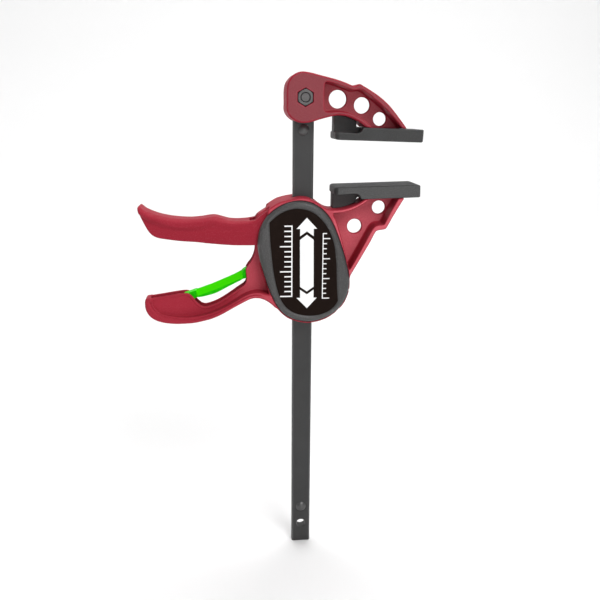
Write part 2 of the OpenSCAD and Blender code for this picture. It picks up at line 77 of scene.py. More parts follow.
handle_top = [[-62.4, 106.3], [-60, 106.6], [-56, 107.2], [-51, 108], [-47.6, 108.4], [-45.9, 108.2],
    [-44.4, 107.1], [-43.2, 105.4], [-42, 104], [-40.5, 102.9], [-38.4, 102.8], [-34.3, 104.3], [-30, 106.9],
    [-26, 109.7], [-23.5, 111.5], [-22.7, 113.4], [-22.8, 116], [-22.8, 118], [-21.9, 119.6], [-20.7, 121.1],
    [-19.7, 123.2], [-19.2, 125.2], [-19.1, 128], [-19.2, 132], [-19, 137], [-18.4, 139], [-17.2, 140.1],
    [-15.5, 141.2], [-14, 142.1], [-12, 143.1], [-12, 143.1], [-6, 138], [-6, 138], [0, 110], [0, 110]]
core_outline = handle_top + handle_under
rim_inner = [[-15.4, 108.8], [-18, 109.2], [-21, 108.9], [-24, 107.6], [-28, 105.1], [-32, 102.9], [-36, 101.1],
    [-40, 99.9], [-44, 99.1], [-48, 98.9], [-52, 99.2], [-56, 100.1], [-58.4, 101.6], [-59.9, 103.9],
    [-60.3, 106.3]]
rim_outline = handle_under + [[-62.4, 106.3], [-62.4, 106.3]] + rim_inner[::-1] + [[-9.5, 108], [-9.5, 108], [-9.5, 102.6], [-9.5, 102.6]]
handle_slot = [[-60.8, 114], [-60.8, 104.8], [-58.8, 102.8], [-54, 101.8], [-48, 101.5], [-43, 101.4],
    [-38.4, 101.6], [-34.3, 103.1], [-30, 105.7], [-26, 108.6], [-22, 110.6], [-16, 110.2], [-11.1, 108.6],
    [-8.2, 107], [-8.2, 112.6], [-7, 113], [-7, 134], [-9.5, 136.8], [-12, 137.6], [-16.4, 138], [-24, 138], [-64, 114]]
fork_room = [[-26, 120.3], [-26, 120.3], [-9, 120.3], [-9, 120.3], [-9, 127], [-9, 127], [10.9, 127], [10.9, 127], [11.1, 131], [10.9, 135], [9.6, 137.6],
    [7, 138.6], [3, 138.9], [-3, 139.6], [-8, 140.9], [-10.2, 142], [-12.4, 142.6], [-14.6, 142.6], [-26, 142.6]]
brake_room = [[-11.1, 105], [-11.1, 110.7], [9.6, 110.7], [9.6, 108.2], [12.3, 108.2], [12.3, 104.9], [9.6, 104.9],
    [6.4, 104.2], [-6.4, 104.2]]
cover_outline = [[-18.2, 129], [-18, 126], [-17.3, 122], [-16.3, 118.5], [-15, 114], [-13.6, 109.8], [-12.4, 107],
    [-11, 104.2], [-9, 101.5], [-6.4, 99.3], [-3, 97.8], [1, 97], [4, 97.2], [7, 97.9], [10, 99.2], [13, 101.3],
    [15.4, 104], [17, 107], [17.9, 110.3], [18.1, 113.5], [17.7, 117], [16.9, 120.5], [15.8, 124.4], [14.3, 129],
    [12.7, 133.2], [11, 137], [9, 140.1], [6.5, 142.55], [3.5, 144.45], [0, 145.45], [-3, 145.55], [-6, 145],
    [-9, 143.85], [-12, 142], [-14.5, 139.6], [-16.5, 136.5], [-17.7, 133.2]]
label_outline = [[-13.6, 137.4], [-13.6, 137.4], [-13.3, 130], [-12.8, 124], [-12.1, 118], [-11, 112.2],
    [-9.5, 107.2], [-7.4, 103.8], [-4.5, 101.4], [-1, 100.2], [3, 99.8], [7, 100.4], [10.3, 101.9], [12.5, 104],
    [13.5, 105.8], [13.5, 105.8], [13, 112], [12.7, 119], [12.3, 124], [11.6, 128.5], [10.4, 132.3], [8.6, 135.7],
    [6.4, 138.5], [3.5, 140.9], [0, 142.3], [-4, 142.6], [-8, 141.5], [-11, 139.7]]
pad_profile = [[11.6, 171.1], [11.4, 170.6], [11.4, 169.3], [11.7, 168.6], [12.4, 168.3], [12.4, 168.3],
    [44.4, 167.4], [44.4, 167.4], [45, 167.6], [45.2, 168.2], [45.4, 171.6], [45.1, 172.1], [44.6, 172.2],
    [44.6, 172.2], [22.4, 172.85], [22.4, 172.85], [21.8, 172.5], [21.5, 171.8], [21, 171.2], [20.2, 170.85],
    [19, 170.8], [19, 170.8], [12.2, 171.2], [12.2, 171.2]]
upper_tongue = [[11.5, 169.6], [11.5, 177.1], [12.5, 177.25], [15.5, 177], [18, 176.15], [20, 175.15], [20.2, 175],
    [20.2, 173.3], [20.8, 172.9], [22, 172.3], [22, 169.6]]
lower_tongue = [[11.5, 149.2], [11.5, 141.97], [12, 141.95], [14, 142.05], [15.6, 142.35], [17.6, 142.9], [19.8, 143.75],
    [20.6, 144.1], [20.6, 145.3], [21.2, 146], [22, 146.5], [22, 149.2]]
grip_outline = [[-63.8, 142.6], [-63.2, 143.3], [-62.3, 142.6], [-61, 141.6], [-59, 140.75], [-56, 139.7], [-52, 138.8], [-48, 138.3],
    [-44, 138.15], [-40, 138.4], [-37, 138.9], [-34.6, 139.1], [-32, 138.5], [-29, 137.6], [-25.5, 137.3],
    [-21, 137.6], [-21, 137.6], [-21, 128.1], [-21, 128.1], [-26, 128], [-30, 128.2], [-34, 128.5], [-38, 128.8],
    [-42, 129.25], [-46, 129.55], [-50, 129.95], [-54, 130.55], [-56.6, 131.05], [-58.8, 132.2], [-60.4, 134.2],
    [-62, 137.5], [-63.2, 140.5]]
grip_hollow = [[-57.6, 126], [-57.6, 126], [-58.4, 134.6], [-58, 136.4], [-56, 137], [-52, 136.3], [-48, 135.9],
    [-44, 135.7], [-40, 136], [-35, 136.5], [-31, 135.7], [-26, 134.9], [-19, 134.9], [-19, 134.9], [-19, 126],
    [-19, 126]]
cheek_outline = [[-23, 128.1], [-23, 128.1], [-15, 128.2], [-12.2, 129.2], [-8, 130.2], [-5.2, 129.8], [-4, 128.8],
    [-3.3, 128], [-3.3, 128], [-1, 128.6], [1.4, 129.6], [4, 130.3], [7, 130], [7, 130], [9.4, 131.2],
    [10.4, 133.5], [9.4, 135.9], [7, 137], [7, 137], [3, 137.8], [-3, 138.6], [-8, 139.9], [-10.5, 141],
    [-12.6, 141.6], [-14.4, 141.3], [-16.4, 139.9], [-18, 138.5], [-20, 137.7], [-23, 137.5], [-23, 137.5]]
lever_outline = [[-48.5, 106.2], [-47.6, 107.6], [-46, 108.2], [-44.6, 108.7], [-40.5, 110.1], [-36.3, 111.6],
    [-32.2, 113.3], [-28, 115.1], [-25, 116.6], [-23.4, 117.6], [-21.4, 118.2], [-18, 117.6], [-13, 115.4],
    [-9.6, 113], [-8.7, 111.7], [-8.9, 110.8], [-9.6, 110.55], [-10.6, 111.1], [-13, 112.4], [-17, 113.5],
    [-21, 113.8], [-23.5, 113.7], [-26, 112.7], [-30, 110.7], [-34, 108.6], [-36.4, 107.7], [-40, 106.8],
    [-42.8, 106.3], [-44.2, 105], [-45.6, 103.9], [-47.2, 103.9], [-48.4, 104.9]]
lever_roof = [[-60, 102], [-48.5, 107], [-47.6, 107.6], [-46, 108.2], [-44.6, 108.7], [-40.5, 110.1],
    [-36.3, 111.6], [-32.2, 113.3], [-28, 115.1], [-25, 116.6], [-23.4, 117.6], [-21.4, 118.2], [-18, 117.6],
    [-13, 115.4], [-9.6, 113], [-4, 108], [-4, 90], [-60, 90]]
screws = [[-6.4, 142.9], [5.4, 140.6], [14.6, 112.5], [8.4, 101.2], [-7.6, 102.5]]
PIVOT = (7, 133.5)
NOSE = (-2, 128)
LEVER_PIVOT = (-46.5, 105.6)
MID_Z = 159.4
SCREW_Z = 183.6
COVER_OUT = 9.6


def smooth(p, n=4):
    """The closed smooth outline through given points. A point given twice is a corner."""
    m, out = len(p), []
    for i in range(m):
        if p[i] == p[(i + 1) % m]:
            continue
        a, b, c, d = (np.array(p[(i + k) % m], float) for k in (-1, 0, 1, 2))
        for k in range(n):
            t = k / n
            out.append(0.5 * (2 * b + (c - a) * t + (2 * a - 5 * b + 4 * c - d) * t * t
                              + (3 * b - a - 3 * c + d) * t ** 3))
    return np.array(out)


# ------------------------------------------------------------------ distance fields
def poly_distance(P, X, Z):
    """Signed distance to a closed polygon, negative inside."""
    best = np.full(X.shape, 1e9, F4)
    inside = np.zeros(X.shape, bool)
    for i in range(len(P)):
        ax, az = P[i]
        bx, bz = P[(i + 1) % len(P)]
        ex, ez = bx - ax, bz - az
        L = ex * ex + ez * ez
        if L < 1e-12:
            continue
        wx, wz = X - F4(ax), Z - F4(az)
        t = np.clip((wx * F4(ex) + wz * F4(ez)) / F4(L), 0, 1)
        dx, dz = wx - F4(ex) * t, wz - F4(ez) * t
        np.minimum(best, dx * dx + dz * dz, out=best)
        if az != bz:
            cross = (Z >= min(az, bz)) & (Z < max(az, bz))
            inside ^= cross & (X < F4(ax) + (Z - F4(az)) * F4(ex / ez))
    d = np.sqrt(best)
    return np.where(inside, -d, d)


class Plane:
    """A polygon's distance field in x and z, kept on a fine grid and read by interpolation."""

    def __init__(self, pts, box, h=0.2):
        self.x0, self.z0, self.h = box[0], box[2], h
        nx, nz = int((box[1] - box[0]) / h) + 2, int((box[3] - box[2]) / h) + 2
        X, Z = np.meshgrid((self.x0 + h * np.arange(nx)).astype(F4),
                           (self.z0 + h * np.arange(nz)).astype(F4), indexing="ij")
        self.v = poly_distance(np.asarray(pts, float), X, Z)
        self.nx, self.nz = nx, nz

    def __call__(self, x, z):
        fx = np.clip((x - self.x0) / self.h, 0, self.nx - 1.001)
        fz = np.clip((z - self.z0) / self.h, 0, self.nz - 1.001)
        i, k = fx.astype(np.int32), fz.astype(np.int32)
        fx, fz = (fx - i).astype(F4), (fz - k).astype(F4)
        v = self.v
        return ((v[i, k] * (1 - fx) + v[i + 1, k] * fx) * (1 - fz)
                + (v[i, k + 1] * (1 - fx) + v[i + 1, k + 1] * fx) * fz)


def smax(a, b, r):
    """Both a and b, with the edge between them rounded to radius r."""
    u, v = np.maximum(r + a, 0), np.maximum(r + b, 0)
    return np.minimum(-r, np.maximum(a, b)) + np.sqrt(u * u + v * v)


def smin(a, b, r):
    """Either a or b, with the corner between them filled to radius r."""
    u, v = np.maximum(r - a, 0), np.maximum(r - b, 0)
    return np.maximum(r, np.minimum(a, b)) - np.sqrt(u * u + v * v)


def cut(a, b, r):
    return smax(a, -b, r)


def cuboid(x, y, z, b):
    return np.maximum(np.maximum(np.maximum(b[0] - x, x - b[1]), np.maximum(b[2] - y, y - b[3])),
                      np.maximum(b[4] - z, z - b[5]))


def ring(x, z, c, r):
    return np.hypot(x - c[0], z - c[1]) - r


def ramp(v, a, b):
    t = np.clip((v - a) / (b - a), 0, 1)
    return t * t * (3 - 2 * t)


def hexagon(x, z, c, af):
    """Distance to a hexagon with corners up and down."""
    dx, dz = np.abs(x - c[0]), np.abs(z - c[1])
    return np.maximum(dx, dx * 0.5 + dz * 0.8660254) - af / 2


# ------------------------------------------------------------------ meshing
def levels(lo, hi, at, fine, coarse, reach=1.3):
    """Grid planes from lo to hi, close together near the listed levels."""
    out, v = [lo], lo
    while v < hi:
        near = min(abs(v - a) for a in at)
        v += fine if near <= reach else min(coarse, max(fine, (near - reach) * 0.7))
        out.append(v)
    return np.array(out)


def nets(f, xs, ys, zs):
    """Surface nets: one vertex for each cell that the surface passes through."""
    V = np.broadcast_to(f(xs[:, None, None].astype(F4), ys[None, :, None].astype(F4),
                          zs[None, None, :].astype(F4)), (len(xs), len(ys), len(zs)))
    V = np.ascontiguousarray(V, F4)
    S = V < 0
    c = np.zeros(np.array(S.shape) - 1, np.int8)
    for i in (0, 1):
        for j in (0, 1):
            for k in (0, 1):
                c += S[i:S.shape[0] - 1 + i, j:S.shape[1] - 1 + j, k:S.shape[2] - 1 + k]
    act = (c > 0) & (c < 8)
    idx = np.full(c.shape, -1, np.int32)
    I, J, K = np.nonzero(act)
    idx[I, J, K] = np.arange(len(I))
    P = np.zeros((len(I), 3))
    n = np.zeros(len(I))
    lines = (xs, ys, zs)
    base = np.stack([I, J, K], 1)
    for axis in range(3):
        o1, o2 = [a for a in range(3) if a != axis]
        for u in (0, 1):
            for w in (0, 1):
                a = base.copy()
                a[:, o1] += u
                a[:, o2] += w
                b = a.copy()
                b[:, axis] += 1
                va, vb = V[a[:, 0], a[:, 1], a[:, 2]], V[b[:, 0], b[:, 1], b[:, 2]]
                m = (va < 0) != (vb < 0)
                t = np.where(m, va / np.where(m, va - vb, 1), 0)
                for d in range(3):
                    pa, pb = lines[d][a[:, d]], lines[d][b[:, d]]
                    P[:, d] += np.where(m, pa + (pb - pa) * t, 0)
                n += m
    P /= n[:, None]
    quads = []
    for axis in range(3):
        o1, o2 = (axis + 1) % 3, (axis + 2) % 3
        sl0 = [slice(None)] * 3
        sl1 = [slice(None)] * 3
        sl0[axis], sl1[axis] = slice(0, -1), slice(1, None)
        chg = S[tuple(sl0)] != S[tuple(sl1)]
        E = np.stack(np.nonzero(chg), 1)
        ok = ((E[:, o1] > 0) & (E[:, o1] < V.shape[o1] - 1) & (E[:, o2] > 0) & (E[:, o2] < V.shape[o2] - 1))
        E = E[ok]
        q = []
        for u, w in ((-1, -1), (0, -1), (0, 0), (-1, 0)):
            a = E.copy()
            a[:, o1] += u
            a[:, o2] += w
            q.append(idx[a[:, 0], a[:, 1], a[:, 2]])
        q = np.stack(q, 1)
        flip = ~S[E[:, 0], E[:, 1], E[:, 2]]
        q[flip] = q[flip][:, ::-1]
        quads.append(q)
    return P, np.concatenate(quads)


def grad(f, P, e=0.06):
    x, y, z = (P[:, i].astype(F4) for i in range(3))
    g = np.stack([f(x + e, y, z) - f(x - e, y, z), f(x, y + e, z) - f(x, y - e, z),
                  f(x, y, z + e) - f(x, y, z - e)], 1) / (2 * e)
    return g.astype(float)


def onto(f, P, step, rounds=3):
    """Moves the vertices onto the surface."""
    P = P.copy()
    for _ in range(rounds):
        v = f(P[:, 0].astype(F4), P[:, 1].astype(F4), P[:, 2].astype(F4)).astype(float)
        g = grad(f, P)
        g2 = np.maximum((g * g).sum(1), 0.15)
        move = (v / g2)[:, None] * g
        L = np.linalg.norm(move, axis=1)
        P -= move * np.minimum(1, step / np.maximum(L, 1e-9))[:, None]
    return P


def relax(P, Q, amount):
    s = np.zeros_like(P)
    n = np.zeros(len(P))
    for a, b in ((0, 1), (1, 2), (2, 3), (3, 0)):
        for u, w in ((a, b), (b, a)):
            for d in range(3):
                s[:, d] += np.bincount(Q[:, u], P[Q[:, w], d], len(P))
            n += np.bincount(Q[:, u], minlength=len(P))
    return P + (s / np.maximum(n, 1)[:, None] - P) * amount


def mesh_object(name, P, F, normals=None):
    """An object from vertices in mm and faces that all have as many corners."""
    me = bpy.data.meshes.new(name)
    F = np.asarray(F, np.int32)
    me.vertices.add(len(P))
    me.vertices.foreach_set("co", (np.asarray(P) * MM).astype(F4).ravel())
    me.loops.add(F.size)
    me.loops.foreach_set("vertex_index", F.ravel())
    me.polygons.add(len(F))
    me.polygons.foreach_set("loop_start", np.arange(0, F.size, F.shape[1], dtype=np.int32))
    me.update(calc_edges=True)
    me.polygons.foreach_set("use_smooth", np.ones(len(F), bool))
    if normals is not None:
        me.normals_split_custom_set_from_vertices(normals.tolist())
    ob = bpy.data.objects.new(name, me)
    bpy.context.scene.collection.objects.link(ob)
    return ob


def thin(name, P, Q, f, ratio):
    """Merges faces where the surface is flat, and returns the new vertices and triangles."""
    ob = mesh_object(name + ".tmp", P, Q)
    m = ob.modifiers.new("thin", "DECIMATE")
    m.ratio = ratio
    dg = bpy.context.evaluated_depsgraph_get()
    me = bpy.data.meshes.new_from_object(ob.evaluated_get(dg))
    me.calc_loop_triangles()
    P2 = np.zeros(len(me.vertices) * 3, F4)
    me.vertices.foreach_get("co", P2)
    T = np.zeros(len(me.loop_triangles) * 3, np.int32)
    me.loop_triangles.foreach_get("vertices", T)
    bpy.data.objects.remove(ob)
    bpy.data.meshes.remove(me)
    return P2.reshape(-1, 3).astype(float) / MM, T.reshape(-1, 3)


def moulding(name, f, box, ys, h, body, mat, nodes, ratio=None):
    """Meshes a distance field as one piece. box is x0, x1, z0, z1."""
    xs = np.arange(box[0] - 1.6 * h, box[1] + 2.6 * h, h)
    zs = np.arange(box[2] - 1.6 * h, box[3] + 2.6 * h, h)
    P, Q = nets(f, xs, np.asarray(ys, float), zs)
    P = onto(f, P, 0.5 * h, 2)
    P = onto(f, relax(P, Q, 0.5), 0.4 * h, 2)
    if ratio:
        P, Q = thin(name, P, Q, f, ratio)
        P = onto(f, P, 0.3 * h, 1)
    g = grad(f, P)
    N = g / np.maximum(np.linalg.norm(g, axis=1), 1e-6)[:, None]
    ob = mesh_object(name, P, Q, N)
    ob.data.materials.append(mat)
    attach(ob, body)
    if nodes:
        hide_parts(*nodes)
    print("piece", name, len(P), "vertices", len(Q), "faces")
    return ob


# ------------------------------------------------------------------ materials
def node_material(name):
    m = bpy.data.materials.new(name)
    m.use_nodes = True
    nt = m.node_tree
    nt.nodes.clear()
    out = nt.nodes.new("ShaderNodeOutputMaterial")
    bsdf = nt.nodes.new("ShaderNodeBsdfPrincipled")
    nt.links.new(bsdf.outputs[0], out.inputs[0])
    return m, nt, bsdf


def noise(nt, vec, scale, detail=2.0, rough=0.5):
    n = nt.nodes.new("ShaderNodeTexNoise")
    n.inputs["Scale"].default_value = scale
    n.inputs["Detail"].default_value = detail
    n.inputs["Roughness"].default_value = rough
    nt.links.new(vec, n.inputs["Vector"])
    return n.outputs["Fac"]


def ranged(nt, v, a, b, c, d):
    n = nt.nodes.new("ShaderNodeMapRange")
    n.inputs[1].default_value, n.inputs[2].default_value = a, b
    n.inputs[3].default_value, n.inputs[4].default_value = c, d
    nt.links.new(v, n.inputs[0])
    return n.outputs[0]


def maths(nt, op, a, b):
    n = nt.nodes.new("ShaderNodeMath")
    n.operation = op
    for s, v in ((0, a), (1, b)):
        if isinstance(v, (int, float)):
            n.inputs[s].default_value = v
        else:
            nt.links.new(v, n.inputs[s])
    return n.outputs[0]


def mix(nt, fac, a, b):
    n = nt.nodes.new("ShaderNodeMix")
    n.data_type = "RGBA"
    nt.links.new(fac, n.inputs[0])
    for s, v in ((6, a), (7, b)):
        if isinstance(v, tuple):
            n.inputs[s].default_value = (*v, 1)
        else:
            nt.links.new(v, n.inputs[s])
    return n.outputs[2]


def bump(nt, bsdf, height, strength, distance):
    b = nt.nodes.new("ShaderNodeBump")
    b.inputs["Strength"].default_value = strength
    b.inputs["Distance"].default_value = distance
    nt.links.new(height, b.inputs["Height"])
    nt.links.new(b.outputs[0], bsdf.inputs["Normal"])


def plastic(name, base, dark, pale, rough, grain=2600.0, depth=0.00006, strength=0.5, wear_and_edge_highlight=0.35, spec=0.3,
            painted_face_tone=None, painted_face_x=-1.0, root_x=1.0, speckle=0.28, web=None):
    """A moulded plastic: fine grain, slow changes of colour and sheen, paler convex edges that are partly worn and
    partly a painted highlight.
    The optional tone of the flat faces at the front and back, beyond a given x, is painted light and shade on them,
    partly the chalkier look of their textured finish."""
    m, nt, bsdf = node_material(name)
    tc = nt.nodes.new("ShaderNodeTexCoord")
    co = tc.outputs["Object"]
    slow = noise(nt, co, 60.0, 3.0, 0.55)
    fine = noise(nt, co, grain, 2.0, 0.6)
    mid = noise(nt, co, 420.0, 3.0, 0.6)
    col = mix(nt, ranged(nt, slow, 0.3, 0.7, 0.0, 1.0), dark, base)
    # flat faces turned to the front and back take the given tone: painted light and shade on them, partly their
    # textured finish
    if painted_face_tone:
        axes = nt.nodes.new("ShaderNodeSeparateXYZ")
        nt.links.new(tc.outputs["Normal"], axes.inputs[0])
        flat = ranged(nt, maths(nt, "ABSOLUTE", axes.outputs[1], 0.0), 0.85, 0.97, 0.0, 1.0)
        place = nt.nodes.new("ShaderNodeSeparateXYZ")
        nt.links.new(co, place.inputs[0])
        there = ranged(nt, place.outputs[0], painted_face_x, painted_face_x + 0.001, 0.0, 1.0)
        root = ranged(nt, place.outputs[0], root_x, root_x + 0.008, 0.0, 0.55)
        flat = maths(nt, "MULTIPLY", flat, maths(nt, "MAXIMUM", there, root))
        flat = maths(nt, "MULTIPLY", flat, ranged(nt, fine, 0.3, 0.7, 0.65, 1.0))
        if web:
            # the thin web in the middle, within 2 mm of the middle plane, is painted paler: painted light in the deep
            # pockets
            inner = ranged(nt, maths(nt, "ABSOLUTE", place.outputs[1], 0.0), 0.0014, 0.0026, 0.0, 1.0)
            painted_face_tone = mix(nt, inner, web, painted_face_tone)
        col = mix(nt, flat, col, painted_face_tone)
    speck = ranged(nt, fine, 0.5, 0.78, 0.0, speckle)
    col = mix(nt, speck, col, pale)
    # convex edges turn paler: worn edges, and partly a painted highlight along them
    geo = nt.nodes.new("ShaderNodeNewGeometry").outputs["Pointiness"]
    edge = maths(nt, "MULTIPLY", ranged(nt, geo, 0.505, 0.56, 0.0, wear_and_edge_highlight), ranged(nt, mid, 0.35, 0.65, 0.25, 1.0))
    col = mix(nt, edge, col, pale)
    nt.links.new(col, bsdf.inputs["Base Color"])
    rr = maths(nt, "ADD", ranged(nt, mid, 0.2, 0.8, rough - 0.06, rough + 0.05), ranged(nt, fine, 0.3, 0.7, -0.03, 0.04))
    nt.links.new(rr, bsdf.inputs["Roughness"])
    bsdf.inputs["Specular IOR Level"].default_value = spec
    height = maths(nt, "ADD", fine, maths(nt, "MULTIPLY", mid, 0.8))
    bump(nt, bsdf, height, strength, depth)
    return m


def metal(name, base, dark, rough, metallic=1.0, stretch=(1.0, 1.0, 0.06), grain=1500.0, depth=0.00002, strength=0.4,
          painted_edge_highlight=None):
    """A steel surface: fine drawn lines along one direction, and slow stains."""
    m, nt, bsdf = node_material(name)
    co = nt.nodes.new("ShaderNodeTexCoord").outputs["Object"]
    mp = nt.nodes.new("ShaderNodeMapping")
    mp.inputs["Scale"].default_value = stretch
    nt.links.new(co, mp.inputs["Vector"])
    lines = noise(nt, mp.outputs[0], grain, 3.0, 0.6)
    slow = noise(nt, co, 90.0, 4.0, 0.6)
    speck = noise(nt, co, 1900.0, 2.0, 0.7)
    col = mix(nt, ranged(nt, slow, 0.32, 0.68, 0.0, 1.0), dark, base)
    col = mix(nt, ranged(nt, speck, 0.45, 0.75, 0.0, 0.4), col, dark)
    if painted_edge_highlight:
        # a strip's long edges, half a millimetre wide, are painted paler: a painted highlight along them
        axes = nt.nodes.new("ShaderNodeSeparateXYZ")
        nt.links.new(co, axes.inputs[0])
        strip = ranged(nt, maths(nt, "ABSOLUTE", axes.outputs[0], 0.0), 0.0032, 0.0037, 0.0, 1.0)
        col = mix(nt, maths(nt, "MULTIPLY", strip, ranged(nt, slow, 0.3, 0.7, 0.6, 1.0)), col, painted_edge_highlight)
    nt.links.new(col, bsdf.inputs["Base Color"])
    bsdf.inputs["Metallic"].default_value = metallic
    rr = maths(nt, "ADD", ranged(nt, slow, 0.3, 0.7, rough - 0.05, rough + 0.06), ranged(nt, lines, 0.3, 0.7, -0.04, 0.04))
    nt.links.new(rr, bsdf.inputs["Roughness"])
    bump(nt, bsdf, maths(nt, "ADD", lines, maths(nt, "MULTIPLY", speck, 0.5)), strength, depth)
    return m


RED_A, RED_B, RED_C = (0.330, 0.021, 0.038), (0.285, 0.017, 0.031), (0.52, 0.09, 0.12)
RED = plastic("red_plastic", RED_A, RED_B, RED_C, 0.50, strength=0.55, spec=0.04, wear_and_edge_highlight=0.1)
# the moving jaw's body: a brighter copy of the red plastic, with much paler front and back faces on the arm and, at
# about half strength, from the handle's root on: painted light
RED_BODY_PAINTED_LIGHT = plastic("red_body_painted_light_plastic", (0.370, 0.026, 0.045), (0.320, 0.021, 0.037), RED_C, 0.50, strength=0.55, wear_and_edge_highlight=0.1,
                   spec=0.04, painted_face_tone=(0.62, 0.120, 0.152),
                   painted_face_x=0.0105, root_x=-0.029)
# the fixed jaw: the same red with darker front and back faces, painted shade, and a paler web, painted light
RED_JAW_PAINTED_SHADE_AND_LIGHT = plastic("red_jaw_painted_shade_and_light_plastic", RED_A, RED_B, RED_C, 0.50, strength=0.6, spec=0.04, painted_face_tone=(0.225, 0.063, 0.072),
                  web=(0.46, 0.105, 0.125))
GREY = plastic("grey_plastic", (0.064, 0.062, 0.062), (0.050, 0.049, 0.049), (0.20, 0.20, 0.20), 0.40, strength=0.65,
               speckle=0.36)
PAD = plastic("pad_plastic", (0.047, 0.047, 0.047), (0.039, 0.039, 0.039), (0.14, 0.14, 0.14), 0.55, strength=0.4,
              spec=0.2)
# the lower pad: a darker copy of the pad plastic, painted shade, with paler front and back faces, painted light
PAD_LOW_PAINTED_SHADE_AND_LIGHT = plastic("lower_pad_painted_shade_and_light_plastic", (0.036, 0.036, 0.036), (0.030, 0.030, 0.030), (0.14, 0.14, 0.14), 0.60, strength=0.4,
                  spec=0.12, painted_face_tone=(0.090, 0.090, 0.090))
# the lever's faces turned to the front and back are painted a darker green: painted shade on its sides
GREEN = plastic("green_plastic", (0.050, 0.78, 0.001), (0.042, 0.72, 0.001), (0.08, 0.80, 0.01), 0.40, strength=0.2,
                depth=0.00003, wear_and_edge_highlight=0.2, spec=0.04, painted_face_tone=(0.001, 0.40, 0.0005), speckle=0.06)
LABEL = plastic("label_film", (0.0102, 0.0048, 0.0032), (0.0086, 0.0040, 0.0026), (0.03, 0.024, 0.021), 0.50,
                grain=5000.0, strength=0.08, depth=0.00002, wear_and_edge_highlight=0.0, spec=0.06, speckle=0.15)
INK = plastic("label_print", (0.92, 0.92, 0.92), (0.88, 0.88, 0.88), (0.97, 0.97, 0.97), 0.45, grain=5000.0,
              strength=0.05, depth=0.00001, wear_and_edge_highlight=0.0, spec=0.3)
# the paler colour along the bar's long edges is a painted highlight
BAR = metal("bar_steel", (0.034, 0.034, 0.0343), (0.026, 0.026, 0.0263), 0.44, 0.20, strength=0.4,
            painted_edge_highlight=(0.078, 0.078, 0.079))
PIN = metal("pin_steel", (0.110, 0.109, 0.108), (0.070, 0.070, 0.070), 0.34, 0.45, (1.0, 1.0, 1.0), strength=0.15)
NUT = metal("fastener_steel", (0.100, 0.096, 0.096), (0.070, 0.067, 0.067), 0.34, 0.7, (1.0, 1.0, 1.0), strength=0.25)
PLATE = metal("plate_steel", (0.46, 0.46, 0.47), (0.36, 0.36, 0.37), 0.34, 1.0, (0.1, 1.0, 1.0))
SPRING = metal("spring_steel", (0.42, 0.42, 0.43), (0.30, 0.30, 0.31), 0.30, 1.0, (1.0, 1.0, 1.0))

# ------------------------------------------------------------------ moving jaw body
BODY_BOX = (-64.0, 40.5, 95.0, 148.6)
bb = (BODY_BOX[0] - 1, BODY_BOX[1] + 1, BODY_BOX[2] - 1, BODY_BOX[3] + 2)
Fdrum = Plane(smooth(drum_outline), bb)
Farm = Plane(smooth(arm_outline), bb)
Farmp = Plane(smooth(arm_pocket), bb)
Fcore = Plane(smooth(core_outline), bb)
Frim = Plane(smooth(rim_outline), bb)
Fslot = Plane(smooth(handle_slot), bb)
Ffork = Plane(smooth(fork_room), bb)
Fbrake = Plane(brake_room, bb)
Fcover = Plane(smooth(cover_outline), bb)


def jaw_body(x, y, z):
    a = np.abs(y)
    core = Fcore(x, z)
    drum = smax(Fdrum(x, z), a - 8.5, 0.75)
    # the arm is deep in front and shallow behind its web
    arm = smax(Farm(x, z), np.maximum(-8.5 - y, y - 3.0), 0.6)
    arm = cut(arm, smax(Farmp(x, z), 1.0 - a, 0.9), 0.4)
    for h in arm_holes:
        arm = cut(arm, ring(x, z, h, h[2]), 0.45)
    d = smin(drum, arm, 0.8)
    # the handle's wall steps in a little below its top edge
    step = 0.22 * ramp(-core, 0.75, 1.15) * ramp(-x, 23.5, 25.5)
    wall = smax(core, a - (3.0 - step), 0.42)
    d = smin(d, wall, 0.7)
    reach = np.interp(x, [-64, -60, -50, -30, -14, -8], [3.4, 4.2, 5.4, 7.0, 8.4, 8.5]).astype(F4)
    # a shallow groove runs along the handle's rim near its inner edge
    edge = Frim(x, z)
    groove = np.exp(-((edge + 0.8) / 0.42) ** 2) * ramp(-core, 1.05, 1.5) * ramp(-x, 15, 19)
    rim = smax(edge, a - reach + 0.55 * groove, 0.9)
    d = smin(d, rim, 0.35)
    d = smin(d, cuboid(x, y, z, (25, 37, -2.4, 2.4, 145.9, 148.5)), 0.05)
    # seats of the covers, room for the fork, the plates and the springs
    d = cut(d, np.maximum(Fcover(x, z) - 0.06, 7.0 - a), 0.12)
    d = cut(d, np.maximum(Ffork(x, z), np.maximum(3.2 - a, a - 7.01)), 0.2)
    d = cut(d, cuboid(x, y, z, (-9.3, 12, -7.01, 7.01, 112.4, 127.4)), 0.1)
    d = cut(d, np.maximum(Fbrake(x, z), a - 7.01), 0.1)
    d = cut(d, np.maximum(np.hypot(x, y) - 6.2, np.maximum(99.6 - z, z - 105)), 0.1)
    d = cut(d, np.maximum(Fslot(x, z), a - 2.15), 0.22)
    d = cut(d, np.maximum(ring(x, z, LEVER_PIVOT, 1.25), a - 2.3), 0.05)
    d = cut(d, cuboid(x, y, z, (-4.2, 4.2, -2.2, 2.2, 90, 150)), 0.3)
    return d


ys_body = levels(-9.0, 9.05, (-8.5, -7, -3, -1, 1, 3, 7, 8.5), 0.34, 0.8, 0.8)
body = moulding("jaw_body", jaw_body, BODY_BOX, ys_body, 0.36, "moving_jaw", RED_BODY_PAINTED_LIGHT,
                ["moving_jaw_body"], ratio=0.5)

# ------------------------------------------------------------------ fixed jaw
fb = (-9, 41, 170, 195)
Ffix = Plane(smooth(fixed_outline), fb)
Ffixp = Plane(smooth(fixed_pocket), fb)


